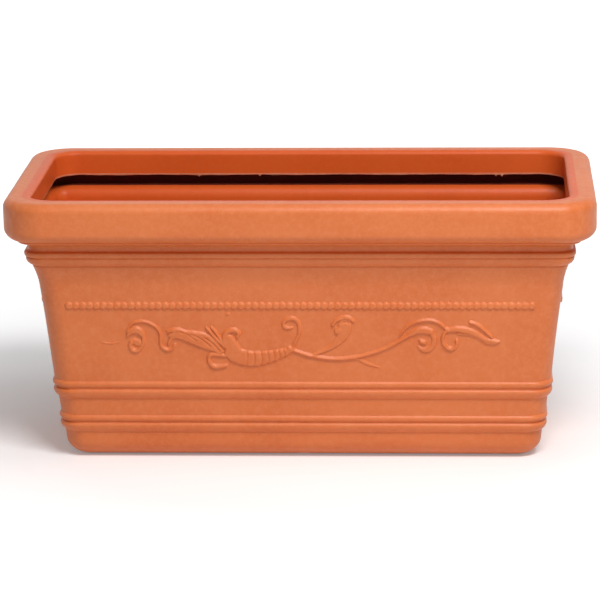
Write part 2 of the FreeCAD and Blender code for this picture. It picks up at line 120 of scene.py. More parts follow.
# Single rows: levels on the rim's face and the lip, or (level, inset, corner radius).
RIM_FACE = (342.0, 347.0, 352.0)
RIM_FLAT = ((HEIGHT, 19.0, 45.0), (HEIGHT, 25.0, 44.0))
LIP_LEVELS = (361.0, 356.0, 351.0, 346.0, LIP_CUT + CUT_FACE, LIP_CUT + 0.9)
SHELF_START = (321.0, 22.4, HOLLOW_CORNER)
SHELF_FOOT = ((297.5, 35.3, HOLLOW_CORNER), (295.0, 35.7, HOLLOW_CORNER), (291.5, 37.4, 18.0))

# From the lip's cut edge up its hidden face: (rise over the cut, step outwards).
CUT_PROFILE = ((0.15, 0.5), (0.0, 1.3), (0.1, 4.4), (0.9, WALL), (8.0, WALL), (18.0, WALL),
               (28.0, WALL), (31.2, 5.8), (32.0, 7.5))

# Three mouldings and a thin upper bead below the rim, as (level, inset), from the cove up.
MOULDINGS = (
    (278.6, 37.4), (279.4, 37.7), (279.9, 36.6), (281.0, 34.9), (282.5, 33.2), (284.5, 31.6),
    (286.8, 30.4), (289.0, 29.8), (290.6, 29.7), (291.6, 30.0), (292.2, 30.5),
    (292.7, 29.7), (293.6, 28.8), (295.0, 28.1), (297.0, 27.7), (298.8, 27.8), (299.9, 28.3),
    (300.6, 29.4), (301.1, 31.6),
    (301.8, 32.1), (302.8, 32.3), (304.4, 32.2), (306.6, 31.8), (309.0, 30.8), (310.6, 29.0),
    (311.4, 26.6), (312.0, 24.4), (312.8, 22.4), (313.8, 21.2), (314.8, 20.8), (315.6, 21.2),
    (316.0, 21.9))

# Drain holes and drain channel.
HOLE_BORE = 16.0
HOLE_SPREAD = (225.0, 45.0)
HOLE_SPAN = (-2.0, 14.0)
HOLE_STEPS = 40
CHANNEL_WIDTH = 34.0
CHANNEL_HEIGHT = 3.9
CHANNEL_BOTTOM = -1.0
CHANNEL_STEPS = 17

WALL_SLOPE = (FOOT_INSET - 2 * BAND_STEP - COVE_INSET) / (COVE_LEVEL - FOOT_ROUND)
INNER_SLOPE = (FOOT_INSET - COVE_INSET) / (COVE_LEVEL - FOOT_ROUND)

# Columns round the perimeter, per side and per corner.
LONG_STEPS = 60
SHORT_STEPS = 28
CORNER_STEPS = 14

# Material slots of the shell's skin, and the slack in telling its faces apart.
OUTSIDE = 0
INSIDE = 1
# The lip's cut faces take a paler colour: partly the raw cut plastic's own tone, partly a painted
# highlight along the cut edge.
CUT = 2
# The hollow rim's inside faces take a near-black colour: painted shade. The plastic there is the
# same as elsewhere and only lies in shade.
HOLLOW = 3
SLACK = 0.1

# Small burrs on the cut edge at the back, as (place along it, drop).
BURRS = ((-159.0, 2.2), (-71.5, 2.8), (267.0, 2.4), (275.5, 3.0))
BURR_WIDTH = 3.0
BURR_COLUMNS = (-1.0, -0.5, 0.0, 0.5, 1.0)
BURR_HALF = BURR_WIDTH * 0.6

# Waves of the cut edge: height, pace along x and y, phase.
CUT_WAVES = ((0.35, 0.047, 0.11, 0.0), (0.2, 0.173, 0.0, 1.3))

# Waves of the walls: height, pace along x, y and z, phase. They reach the levels in between.
WAVES = ((0.11, (0.021, 0.013, 0.030), 0.4), (0.08, (-0.043, 0.037, 0.052), 1.9),
         (0.05, (0.091, -0.085, 0.074), 3.1))
UNEVEN = 0.28
UNEVEN_LEVELS = (20.0, 371.0)


def wall_inset(z, steps=2):
    """Inset of the tapering wall at a level, above none, one or both bands."""
    low, high = WALL_HOLLOW_SPAN
    share = np.clip((z - low) / (high - low), 0, 1)
    hollow = WALL_HOLLOW * np.sin(math.pi * share)
    return FOOT_INSET - BAND_STEP * steps - WALL_SLOPE * (z - FOOT_ROUND) + hollow


def arc(z, inset, rise, reach, start, end, count):
    """Points (level, inset) on part of an ellipse; angle 0 is its outermost point."""
    angles = np.radians(np.linspace(start, end, count))
    return [(z + rise * math.sin(a), inset - reach * math.cos(a)) for a in angles]


def bead(low, high, bulge):
    """Bead between two (level, inset) points, ends left out: round edge above, fading below."""
    crown = 1 - BAND_EDGE / (high[0] - low[0])
    points = []
    for share in BAND_SHARES:
        z, inset = (low[k] + (high[k] - low[k]) * share for k in (0, 1))
        if share > crown:
            out = 1 - ((share - crown) / (1 - crown)) ** EDGE_POWER
        else:
            out = (1 - (1 - share / crown) ** FADE_POWER) ** FADE_FLATTEN
        points.append((z, inset - bulge * out))
    return points


def blend(start, end, share):
    return start + (end - start) * share


def turn_share(point, bow):
    """How far round an arc of a quarter turn a point is, 0 at its outermost, 1 at its end."""
    return 1 - min(1.0, max(0.0, (bow[1] - point[1]) / bow[3]))


def outside_stations():
    """(level, inset, corner radius) from the underside's recess up to the rim's flat top."""
    stations = [(RECESS, RECESS_INSET, RECESS_CORNER),
                (RECESS_CHAMFER, RECESS_INSET, RECESS_CORNER),
                (0.0, RECESS_INSET - RECESS_CHAMFER, RECESS_CORNER)]
    for z, inset in arc(*FOOT_ARC):
        stations.append((z, inset, BODY_CORNER - CORNER_SHRINK * (inset - FOOT_INSET)))
    wall = []
    for steps, (low, groove, high) in enumerate(BANDS):
        under = (low, wall_inset(low, steps))
        middle = (groove, wall_inset(groove, steps + 1))
        above = (high, wall_inset(high, steps + 1))
        edge = (groove - GROOVE_WIDTH, middle[1])
        wall += [(low - BAND_MARGIN, wall_inset(low - BAND_MARGIN, steps)), under]
        wall += bead(under, edge, LOWER_BULGE) + [edge, middle]
        wall += bead(middle, above, UPPER_BULGE)
        wall += [above, (high + BAND_MARGIN, wall_inset(high + BAND_MARGIN, steps + 1))]
    wall += [(z, wall_inset(z)) for z in np.linspace(*WALL_ROWS)]
    stations += [(z, inset, BODY_CORNER) for z, inset in wall]
    for share in np.linspace(0, 1, COVE_ROWS):
        stations.append((COVE_LEVEL + COVE_RISE * share,
                         COVE_INSET - COVE_REACH * share ** COVE_POWER,
                         blend(BODY_CORNER, MOULDING_CORNER, share)))
    stations += [(z, inset, MOULDING_CORNER) for z, inset in MOULDINGS]
    for point in arc(*RIM_LOW_ARC):
        share = turn_share(point, RIM_LOW_ARC)
        stations.append(point + (blend(RIM_CORNER, MOULDING_CORNER, share),))
    stations += [(z, 0.0, RIM_CORNER) for z in RIM_FACE]
    stations += [point + (RIM_CORNER - point[1],) for point in arc(*RIM_TOP_ARC)]
    stations += RIM_FLAT
    return stations


def inside_stations():
    """Over the top edge, down the lip, round the hollow rim, down the walls to the floor."""
    stations = []
    for z, inset in arc(*LIP_ARC):
        stations.append((z, inset, LIP_CORNER + LIP_INSIDE - inset))
    stations += [(z, LIP_INSIDE, LIP_CORNER) for z in LIP_LEVELS]
    for rise, step in CUT_PROFILE:
        stations.append((LIP_CUT + rise, LIP_INSIDE - step, LIP_CORNER + step))
    stations += [point + (RIM_CORNER - point[1],) for point in arc(*HOLLOW_TOP_ARC)]
    for point in arc(*HOLLOW_LOW_ARC):
        share = turn_share(point, HOLLOW_LOW_ARC)
        stations.append(point + (blend(HOLLOW_RIM_CORNER, HOLLOW_CORNER, share),))
    stations.append(SHELF_START)
    stations += [point + (HOLLOW_CORNER,) for point in reversed(arc(*SHELF_ARC))]
    stations += SHELF_FOOT
    for share in np.linspace(1, 0, INNER_COVE_ROWS):
        stations.append((COVE_LEVEL + INNER_COVE_RISE * share,
                         COVE_INSET + WALL - INNER_COVE_REACH * share ** INNER_COVE_POWER,
                         blend(INNER_CORNER, HOLLOW_CORNER, share)))
    for z in np.linspace(*INNER_WALL_ROWS):
        stations.append((z, FOOT_INSET + WALL - (z - FOOT_ROUND) * INNER_SLOPE, INNER_CORNER))
    radius = FOOT_ROUND - WALL
    for share in np.linspace(0, 1, FLOOR_ROWS):
        angle = share * math.asin((FOOT_ROUND - RECESS - WALL) / radius)
        drawn_in = radius * (1 - math.cos(angle))
        stations.append((FOOT_ROUND - radius * math.sin(angle), FOOT_INSET + WALL + drawn_in,
                         INNER_CORNER - CORNER_SHRINK * drawn_in))
    return stations


def columns():
    """(side, share along it, share round its corner or None), with extra ones at the burrs."""
    found = []
    for side in range(4):
        count = LONG_STEPS if side % 2 == 0 else SHORT_STEPS
        shares = set(round(float(share), 6) for share in np.linspace(0, 1, count + 1)[:-1])
        if side == 2:
            half = LENGTH / 2 - LIP_INSIDE - LIP_CORNER
            for x, _ in BURRS:
                for step in BURR_COLUMNS:
                    shares.add(round((1 - (x + step * BURR_WIDTH) / half) / 2, 6))
        found += [(side, share, None) for share in sorted(shares)]
        for step in range(CORNER_STEPS):
            found.append((side, 1.0, step / CORNER_STEPS))
    return found


COLUMNS = columns()


def ring(inset, corner):
    """Plan positions and outward directions of every column at one station."""
    half_x = LENGTH / 2 - inset
    half_y = DEPTH / 2 - inset
    places = np.empty((len(COLUMNS), 2))
    outward = np.empty((len(COLUMNS), 2))
    for index, (side, share, bend) in enumerate(COLUMNS):
        half, reach = (half_x, half_y) if side % 2 == 0 else (half_y, half_x)
        along = (half - corner) * (2 * share - 1)
        if bend is None:
            local = (along, -reach)
            normal = (0.0, -1.0)
        else:
            angle = math.radians(-90 + 90 * bend)
            normal = (math.cos(angle), math.sin(angle))
            local = (half - corner + corner * normal[0], corner - reach + corner * normal[1])
        turn = math.pi / 2 * side
        c, s = math.cos(turn), math.sin(turn)
        places[index] = (local[0] * c - local[1] * s, local[0] * s + local[1] * c)
        outward[index] = (normal[0] * c - normal[1] * s, normal[0] * s + normal[1] * c)
    return places, outward


def unevenness(x, y, z):
    """How far a moulded wall stands in from its true face, about 0 to twice UNEVEN."""
    total = 0.0
    for height, pace, phase in WAVES:
        total = total + height * np.sin(x * pace[0] + y * pace[1] + z * pace[2] + phase)
    return UNEVEN - total


def cut_edge(places):
    """The lip's lower edge was cut by hand: slow waves, a fine ripple and four small burrs."""
    x, y = places[:, 0], places[:, 1]
    edge = 0.0
    for height, pace_x, pace_y, phase in CUT_WAVES:
        edge = edge + height * np.sin(x * pace_x + y * pace_y + phase)
    for burr_x, drop in BURRS:
        away = np.abs(x - burr_x)
        near = (y > 0) & (away < BURR_HALF)
        edge = edge - np.where(near, drop * (1 - away / BURR_HALF), 0.0)
    return edge


def new_mesh(name, verts, faces, materials, sides=None, smooth=True):
    mesh = bpy.data.meshes.new(name)
    mesh.from_pydata((np.asarray(verts) * MM).tolist(), [], faces)
    for material in materials:
        mesh.materials.append(material)
    if sides is not None:
        mesh.polygons.foreach_set("material_index", np.asarray(sides, dtype=np.int32))
    if smooth:
        mesh.shade_smooth()
    mesh.update()
    piece = bpy.data.objects.new(name, mesh)
    bpy.context.scene.collection.objects.link(piece)
    return piece


def surface_kind(row, outer_rows, stations):
    """Material of the faces between a station and the next one."""
    (z, inset), (next_z, next_inset) = stations[row][:2], stations[row + 1][:2]
    face_top = LIP_CUT + CUT_FACE + SLACK
    if row < outer_rows - 1:
        return OUTSIDE
    if z < ROLL_TOP or z > face_top and inset >= LIP_INSIDE - SLACK:
        return INSIDE
    if row < outer_rows + LIP_ROWS:
        return INSIDE
    # Faces of the lip's cut get the paler colour, which is partly a painted highlight.
    if max(z, next_z) < face_top and next_inset >= LIP_INSIDE - WALL:
        return CUT
    # Faces inside the hollow rim get the near-black painted shade.
    return HOLLOW


def planter_mesh(materials):
    """One closed skin: underside, outer walls, rim, lip, hollow rim, inner walls and floor."""
    outer = outside_stations()
    stations = outer + inside_stations()
    count = len(COLUMNS)
    verts = np.empty((len(stations), count, 3))
    for row, (z, inset, corner) in enumerate(stations):
        places, outward = ring(inset, corner)
        level = np.full(count, z)
        if abs(z - LIP_CUT) < CUT_REACH:
            level = level + cut_edge(places)
        if UNEVEN_LEVELS[0] < z < UNEVEN_LEVELS[1] or row >= len(outer):
            shift = unevenness(places[:, 0], places[:, 1], z)
            places = places - outward * shift[:, None]
        verts[row, :, :2] = places
        verts[row, :, 2] = level
    faces = [list(range(count))[::-1]]
    sides = [OUTSIDE]
    for row in range(len(stations) - 1):
        for column in range(count):
            other = (column + 1) % count
            faces.append((row * count + column, row * count + other,
                          (row + 1) * count + other, (row + 1) * count + column))
            sides.append(surface_kind(row, len(outer), stations))
    last = (len(stations) - 1) * count
    faces.append(list(range(last, last + count)))
    sides.append(INSIDE)
    return new_mesh("planter_shell_skin", verts.reshape(-1, 3), faces, materials, sides)


def cut_away(piece, cutters):
    """Takes the cutters out of a piece and removes them."""
    for cutter in cutters:
        modifier = piece.modifiers.new(cutter.name, "BOOLEAN")
        modifier.operation = "DIFFERENCE"
        modifier.solver = "EXACT"
        modifier.object = cutter
    graph = bpy.context.evaluated_depsgraph_get()
    mesh = bpy.data.meshes.new_from_object(piece.evaluated_get(graph))
    piece.modifiers.clear()
    piece.data = mesh
    for cutter in cutters:
        bpy.data.objects.remove(cutter)


def hole_cutter(x, y):
    """Upright prism for one drain hole."""
    radius = HOLE_BORE / 2
    steps = HOLE_STEPS
    verts = []
    for z in HOLE_SPAN:
        for step in range(steps):
            angle = 2 * math.pi * step / steps
            verts.append((x + radius * math.cos(angle), y + radius * math.sin(angle), z))
    faces = [tuple(range(steps))[::-1], tuple(range(steps, 2 * steps))]
    faces += [(k, (k + 1) % steps, steps + (k + 1) % steps, steps + k) for k in range(steps)]
    return new_mesh("hole_cutter", verts, faces, [], smooth=False)


def channel_cutter():
    """Arched prism that opens the drain channel through the foot ring."""
    half = CHANNEL_WIDTH / 2
    radius = (CHANNEL_WIDTH ** 2 / 4 + CHANNEL_HEIGHT ** 2) / (2 * CHANNEL_HEIGHT)
    outline = [(-half, CHANNEL_BOTTOM), (half, CHANNEL_BOTTOM)]
    for x in np.linspace(half, -half, CHANNEL_STEPS):
        outline.append((x, CHANNEL_HEIGHT - radius + math.sqrt(radius ** 2 - x ** 2)))
    count = len(outline)
    verts = [(x, y, z) for y in (-DEPTH / 2, DEPTH / 2) for x, z in outline]
    faces = [tuple(range(count)), tuple(range(count, 2 * count))[::-1]]
    faces += [(k, count + k, count + (k + 1) % count, (k + 1) % count) for k in range(count)]
    return new_mesh("channel_cutter", verts, faces, [], smooth=False)


# Raised work on the walls, as height fields over (place along, level) that sink into the wall
# where nothing stands out. RELIEF: each stroke's height, and its centre line as (place along,
# level, half width).
RELIEF = {
    "dash": (1.0, [(-271.4, 170.6, 0.9), (-264.7, 169.2, 1.3), (-256.5, 168.7, 1.4),
        (-246.2, 170.3, 1.0)]),
    "arch_left": (2.5, [(-235.4, 186.3, 1.4), (-229.3, 196.4, 1.6), (-221.2, 200.5, 1.7),
        (-211.4, 200.8, 1.7), (-203.6, 198.2, 1.7), (-195.6, 192.8, 1.9), (-190.2, 183.8, 2.1),
        (-189.9, 174.5, 2.2), (-189.6, 166.4, 2.3), (-185.7, 161.7, 2.4), (-180.0, 159.9, 2.4),
        (-173.9, 162.3, 2.3), (-171.0, 167.5, 1.9)]),
    "tip_left": (2.2, [(-179.1, 167.7, 2.2), (-176.4, 174.3, 2.5), (-171.5, 178.8, 1.6)]),
    "volute_cap": (2.9, [(-234.7, 180.5, 1.9), (-230.5, 186.0, 3.5), (-223.5, 188.6, 4.6),
        (-217.6, 186.3, 4.4), (-214.3, 181.1, 3.0)]),
    "volute_left": (2.6, [(-215.5, 183.4, 2.7), (-213.3, 176.2, 2.6), (-214.4, 167.5, 2.6),
        (-219.2, 160.5, 2.7), (-225.4, 158.5, 2.7), (-229.9, 161.4, 2.7), (-231.4, 166.9, 3.0),
        (-229.9, 171.8, 2.9)]),
    "volute_core": (1.8, [(-226.0, 172.1, 4.4), (-220.9, 169.8, 4.9)]),
    "leaf_body": (2.6, [(-177.6, 180.2, 2.2), (-168.7, 183.2, 4.9), (-159.2, 182.0, 6.3),
        (-148.4, 178.0, 7.1), (-137.6, 173.9, 7.4), (-126.8, 169.3, 7.1), (-117.4, 164.4, 6.0),
        (-107.3, 158.1, 3.3)]),
    "feather_a": (2.9, [(-180.1, 186.6, 1.7), (-173.9, 188.6, 2.5), (-165.8, 188.8, 2.8),
        (-157.7, 186.1, 2.7), (-149.6, 181.3, 2.0), (-143.0, 176.2, 1.2)]),
    "feather_b": (2.9, [(-160.4, 186.6, 1.6), (-152.3, 185.2, 2.5), (-143.4, 184.0, 3.1),
        (-136.1, 180.3, 3.0), (-128.1, 174.1, 2.5), (-120.1, 166.9, 1.4)]),
    "feather_c": (2.9, [(-141.4, 184.9, 1.6), (-133.3, 182.6, 2.7), (-125.2, 178.9, 3.1),
        (-117.9, 172.7, 3.0), (-111.3, 165.5, 2.2), (-106.6, 159.0, 1.4)]),
    "feather_low": (2.6, [(-175.7, 177.4, 1.4), (-166.1, 178.5, 2.0), (-155.3, 174.8, 2.2),
        (-144.5, 170.0, 2.3), (-132.4, 165.3, 2.5), (-120.2, 161.0, 2.5), (-108.8, 156.1, 1.9)]),
    "blade_a": (2.9, [(-127.3, 191.9, 1.2), (-122.3, 186.4, 2.0), (-115.7, 178.3, 2.5),
        (-107.7, 170.2, 2.5), (-101.1, 163.3, 1.8)]),
    "blade_b": (2.9, [(-120.5, 193.0, 1.1), (-115.5, 187.0, 1.8), (-109.6, 177.7, 2.0),
        (-102.5, 166.9, 1.6)]),
    "dot": (1.6, [(-97.7, 211.0, 2.2), (-96.6, 211.6, 2.2)]),
    "mouth_scroll": (2.9, [(-100.2, 164.8, 3.0), (-103.6, 175.6, 3.1), (-101.1, 184.1, 3.3),
        (-94.5, 188.3, 3.3), (-87.7, 188.3, 3.1), (-83.4, 184.1, 2.7), (-85.2, 179.3, 2.6)]),
    "mouth": (2.9, [(-97.2, 178.0, 4.6), (-94.6, 170.5, 7.6), (-92.1, 161.9, 10.1),
        (-89.0, 154.0, 11.2)]),
    "curl_low": (2.9, [(-102.7, 152.1, 2.2), (-113.6, 153.8, 2.7), (-121.8, 153.3, 2.9),
        (-124.8, 147.4, 2.8), (-122.9, 139.9, 2.8), (-115.9, 135.6, 2.8), (-107.2, 136.5, 2.3),
        (-100.3, 137.9, 1.5)]),
    "horn": (2.9, [(-95.8, 156.1, 7.5), (-86.4, 152.4, 10.4), (-76.9, 148.9, 10.8),
        (-66.0, 147.2, 10.5), (-52.4, 148.1, 9.5), (-38.7, 151.0, 8.0), (-27.8, 154.2, 6.9),
        (-20.2, 156.8, 5.4), (-15.4, 159.1, 3.5)]),
    "joint": (2.9, [(-14.8, 161.6, 3.5), (-11.3, 160.7, 3.5)]),
    "curl_mid": (2.2, [(-10.7, 162.6, 1.7), (-5.4, 173.5, 2.2), (-1.4, 183.3, 2.6),
        (-0.8, 193.0, 2.9), (-3.5, 201.5, 3.0), (-10.0, 205.3, 3.0), (-17.3, 204.1, 2.9),
        (-22.0, 199.5, 2.7), (-21.6, 193.7, 2.5), (-16.2, 191.4, 2.1), (-10.7, 192.0, 1.4)]),
    "stem_main": (2.9, [(-14.0, 161.7, 1.6), (-7.3, 159.1, 2.0), (1.5, 155.7, 2.2),
        (10.4, 152.8, 2.2), (19.4, 151.1, 2.1), (32.0, 148.8, 2.0), (46.4, 147.4, 2.0),
        (63.3, 148.3, 2.1), (78.0, 150.6, 2.2), (89.1, 153.5, 2.1), (100.0, 156.7, 2.0),
        (110.9, 160.7, 1.9), (121.8, 165.6, 1.9), (132.7, 172.3, 2.0), (142.2, 178.3, 2.2),
        (150.3, 182.9, 2.3)]),
    "branch": (2.0, [(18.5, 152.8, 1.8), (29.4, 157.7, 2.6), (40.4, 163.2, 3.5),
        (50.0, 171.0, 5.2), (57.4, 180.2, 7.3), (60.2, 189.5, 9.2), (60.8, 194.7, 9.5)]),
    "bud_rim": (2.6, [(44.1, 195.8, 2.2), (49.6, 202.7, 2.6), (58.0, 206.5, 2.8),
        (66.7, 206.2, 2.8), (72.6, 201.9, 2.2)]),
    "bud_mid": (2.5, [(50.7, 187.4, 4.6), (52.9, 188.6, 4.6)]),
    "small_leaf": (1.3, [(70.1, 149.2, 1.4), (78.9, 146.3, 2.1), (86.3, 142.0, 2.4),
        (94.4, 138.8, 2.2), (107.1, 134.5, 0.9)]),
    "arch_right": (2.9, [(134.9, 180.3, 1.0), (139.5, 187.0, 1.3), (146.7, 195.0, 1.4),
        (157.0, 200.7, 1.5), (168.7, 203.1, 1.5), (177.7, 202.9, 1.5), (185.5, 200.6, 1.5),
        (192.8, 195.7, 1.6), (198.2, 189.6, 1.8)]),
    "volute_right": (2.9, [(145.6, 180.1, 2.2), (152.4, 184.7, 3.5), (160.5, 188.1, 4.2),
        (169.3, 188.7, 4.5), (177.4, 186.4, 3.8)]),
    "volute_body": (2.2, [(178.0, 183.3, 3.2), (181.7, 176.6, 3.5), (180.5, 168.0, 3.9),
        (175.2, 161.7, 3.9), (167.8, 160.2, 3.4), (161.0, 164.0, 2.4)]),
    "volute_eye": (2.9, [(163.3, 173.2, 2.7), (168.1, 170.9, 3.2)]),
    "hook_right": (2.9, [(199.8, 190.2, 2.2), (195.2, 184.1, 2.4), (193.3, 176.7, 2.6),
        (194.9, 168.3, 2.7), (201.1, 162.6, 2.8), (207.9, 162.9, 2.7), (212.2, 168.3, 2.4),
        (211.9, 173.8, 2.2)]),
    "leaf_right": (2.9, [(199.8, 187.9, 2.2), (208.4, 190.2, 3.2), (217.9, 189.8, 4.1),
        (227.9, 187.6, 4.2), (237.3, 183.9, 3.7), (246.2, 178.4, 3.2), (254.3, 174.4, 3.0),
        (262.4, 173.0, 2.7), (269.7, 172.4, 1.5)]),
    "leaf_back": (2.2, [(213.8, 183.9, 1.6), (224.6, 183.3, 2.2), (235.4, 180.4, 2.3),
        (246.2, 174.7, 2.3), (255.7, 170.1, 2.2), (266.5, 169.6, 1.4)]),
    "crest_right": (2.9, [(229.5, 200.3, 1.3), (236.2, 198.4, 2.3), (243.5, 194.1, 2.6),
        (250.3, 188.2, 2.4), (256.8, 181.6, 1.8), (259.7, 177.6, 1.1)]),
}
# Grooves pressed into the raised work: depth, half width, line.
GROOVES = (
    (1.3, 1.2, ((-73.2, 162.2), (-72.5, 148.7), (-75.1, 135.2))),
    (1.3, 1.2, ((-63.7, 160.5), (-62.5, 147.5), (-64.5, 134.5))),
    (1.3, 1.2, ((-54.2, 159.9), (-52.6, 147.8), (-54.3, 135.8))),
    (1.3, 1.2, ((-45.3, 160.1), (-43.5, 149.2), (-44.9, 138.3))),
    (1.3, 1.2, ((-37.4, 160.7), (-35.4, 150.7), (-36.7, 140.7))),
    (1.3, 1.2, ((-30.1, 161.3), (-28.1, 152.2), (-29.3, 143.1))),
    (1.3, 1.2, ((-23.5, 162.3), (-21.6, 154.1), (-23.0, 146.0))),
    (1.6, 1.2, ((-115.9, 144.1), (-108.4, 144.4), (-101.2, 143.4), (-94.4, 142.0))),
    (1.2, 1.0, ((-163.1, 186.9), (-155.0, 184.0), (-148.3, 179.4), (-141.7, 173.9))),
    (1.2, 1.0, ((-145.5, 181.7), (-137.5, 178.3), (-129.5, 172.5), (-122.2, 165.6))),
    (1.2, 1.0, ((-128.0, 177.7), (-121.3, 171.9), (-114.7, 164.7), (-109.4, 158.7))),
    (1.0, 1.0, ((205.7, 185.6), (216.5, 185.0), (227.3, 183.0), (238.1, 178.7), (247.6, 173.0))),
    (2.2, 1.2, ((-236.4, 176.7), (-230.2, 178.2), (-223.3, 178.7), (-217.6, 177.9))),
    (1.6, 1.2, ((57.7, 199.3), (62.0, 200.7), (66.9, 198.7))),
    (2.4, 1.0, ((143.5, 176.3), (151.6, 178.9), (159.8, 179.8), (167.6, 176.9))),
    (1.0, 1.0, ((230.0, 192.8), (238.1, 190.0), (246.2, 184.2), (254.3, 178.2))),
)

# How raised work is made from its lines. It sinks into the wall by SINK, has a hidden back
# BACKING deep, and its face droops by DROOP per millimetre of height. A stroke's height is part
# bevelled edge, part crown.
SINK = 0.1
SHOWN_SHARE = 0.3
BACKING = 1.0
DROOP = 0.45
EDGE_WIDTH = 1.9
EDGE_SHARE = 0.85
CROWN_SHARE = 0.15
LINE_SPACING = 0.5
GROOVE_REACH = 3
SOFTEN_CELLS = 0.7

# Height fields: spans along the wall and in height, and their steps.
SCROLL_SPAN = (-280.0, 280.0)
SCROLL_LEVELS = (122.0, 214.0)
BEAD_LEVELS = (214.0, 233.0)
BEAD_MARGIN = 6.0
FIELD_STEP = 0.7
BEAD_STEP = 0.85

# Rows of small beads. WALLS: side name and half the length of its row.
BEAD_PITCH = 9.35
BEAD_LEVEL = 223.2
BEAD_HALF_LENGTH = 4.5
BEAD_HALF_HEIGHT = 5.0
BEAD_HEIGHT = 2.5
BEAD_FULL = 1.3
BEAD_END_FALL = 0.9
BEAD_SIDE_FALL = 1.3
BEAD_SIDE_POWER = 2.4
BEAD_DOME = 0.45
WALLS = (("front", 318.5), ("right", 117.0), ("back", 318.5), ("left", 117.0))


def smooth_line(points):
    """Catmull-Rom curve through the points, one row about every LINE_SPACING."""
    points = np.array(points, dtype=float)
    ends = np.vstack([2 * points[0] - points[1], points, 2 * points[-1] - points[-2]])
    rows = []
    for k in range(1, len(ends) - 2):
        p0, p1, p2, p3 = ends[k - 1:k + 3]
        steps = max(2, int(np.linalg.norm((p2 - p1)[:2]) / LINE_SPACING))
        for t in np.arange(steps) / steps:
            rows.append(0.5 * (2 * p1 + (p2 - p0) * t + (2 * p0 - 5 * p1 + 4 * p2 - p3) * t ** 2
                               + (3 * p1 - p0 - 3 * p2 + p3) * t ** 3))
    rows.append(points[-1])
    return np.array(rows)


def near_window(grid_x, grid_z, x, z, reach):
    """Slices of the height field round a point."""
    i0, i1 = np.searchsorted(grid_x, (x - reach, x + reach))
    j0, j1 = np.searchsorted(grid_z, (z - reach, z + reach))
    return slice(i0, i1), slice(j0, j1)


def soften(field):
    """Gaussian blur, as the soft edges of moulded work."""
    reach = int(3 * SOFTEN_CELLS) + 1
    weights = np.exp(-np.arange(-reach, reach + 1) ** 2 / (2 * SOFTEN_CELLS ** 2))
    weights /= weights.sum()
    for axis in (0, 1):
        field = np.apply_along_axis(lambda row: np.convolve(row, weights, "same"), axis, field)
    return field


def scroll_heights(grid_x, grid_z):
    """Height field of the leaf scroll: the strokes, less the grooves."""
    field = np.zeros((len(grid_x), len(grid_z)))
    for height, line in RELIEF.values():
        for x, z, width in smooth_line(line):
            window = near_window(grid_x, grid_z, x, z, width)
            if field[window].size == 0:
                continue
            away = np.hypot((grid_x[window[0]] - x)[:, None], (grid_z[window[1]] - z)[None, :])
            bevel = np.clip((width - away) / min(width, EDGE_WIDTH), 0.0, 1.0)
            edge = EDGE_SHARE * np.sqrt(bevel * (2 - bevel))
            crown = CROWN_SHARE * np.sqrt(np.maximum(0.0, 1 - (away / width) ** 2))
            field[window] = np.maximum(field[window], height * (edge + crown))
    pressed = np.zeros_like(field)
    for depth, width, line in GROOVES:
        for x, z in smooth_line(line):
            window = near_window(grid_x, grid_z, x, z, GROOVE_REACH * width)
            away = (grid_x[window[0]] - x)[:, None] ** 2 + (grid_z[window[1]] - z)[None, :] ** 2
            pressed[window] = np.maximum(pressed[window], depth * np.exp(-away / width ** 2))
    return soften(np.maximum(0.0, field - pressed))


def bead_heights(grid_x, grid_z, half):
    """Height field of a row of small oval beads that touch each other."""
    count = int(2 * half / BEAD_PITCH)
    place = grid_x / BEAD_PITCH + (0.5 if count % 2 == 0 else 0.0)
    along = (place - np.round(place)) * BEAD_PITCH / BEAD_HALF_LENGTH
    up = (grid_z - BEAD_LEVEL) / BEAD_HALF_HEIGHT
    solid = np.clip(BEAD_FULL - BEAD_END_FALL * along[:, None] ** 2
                    - BEAD_SIDE_FALL * np.abs(up)[None, :] ** BEAD_SIDE_POWER, 0, 1)
    field = BEAD_HEIGHT * solid ** BEAD_DOME
    field[np.abs(grid_x) > count * BEAD_PITCH / 2] = 0.0
    return soften(field)


def raised_piece(name, side, grid_x, grid_z, field, material):
    """Closed piece standing out of one wall wherever the height field does."""
    shown = field > SINK * SHOWN_SHARE
    cells = shown[:-1, :-1] | shown[1:, :-1] | shown[:-1, 1:] | shown[1:, 1:]
    used = np.zeros_like(shown)
    for a in (0, 1):
        for b in (0, 1):
            used[a:a + cells.shape[0], b:b + cells.shape[1]] |= cells
    number = -np.ones(used.shape, dtype=int)
    number[used] = np.arange(used.sum())
    xs, zs = np.meshgrid(grid_x, grid_z, indexing="ij")
    x, z, rise = xs[used], zs[used], field[used] - SINK
    half = (DEPTH if side % 2 == 0 else LENGTH) / 2
    reach = half - wall_inset(z)
    turn = math.pi / 2 * side
    c, s = math.cos(turn), math.sin(turn)
    lean = math.hypot(1.0, WALL_SLOPE)
    wave = unevenness(x * c + reach * s, x * s - reach * c, z)
    layers = []
    for out in (rise, np.full_like(rise, -BACKING)):
        local_y = -(reach - wave) - out / lean
        local_z = z - out * WALL_SLOPE / lean - DROOP * np.maximum(out, 0.0)
        layers.append(np.stack([x * c - local_y * s, x * s + local_y * c, local_z], -1))
    total = int(used.sum())
    faces = []
    open_edges = {}
    for i, j in zip(*np.nonzero(cells)):
        corner = (number[i, j], number[i + 1, j], number[i + 1, j + 1], number[i, j + 1])
        corner = tuple(int(k) for k in corner)
        faces.append(corner)
        faces.append(tuple(k + total for k in corner[::-1]))
        for k in range(4):
            a, b = corner[k], corner[(k + 1) % 4]
            if (b, a) in open_edges:
                del open_edges[(b, a)]
            else:
                open_edges[(a, b)] = None
    faces += [(b, a, a + total, b + total) for a, b in open_edges]
    return new_mesh(name, np.vstack(layers), faces, [material])


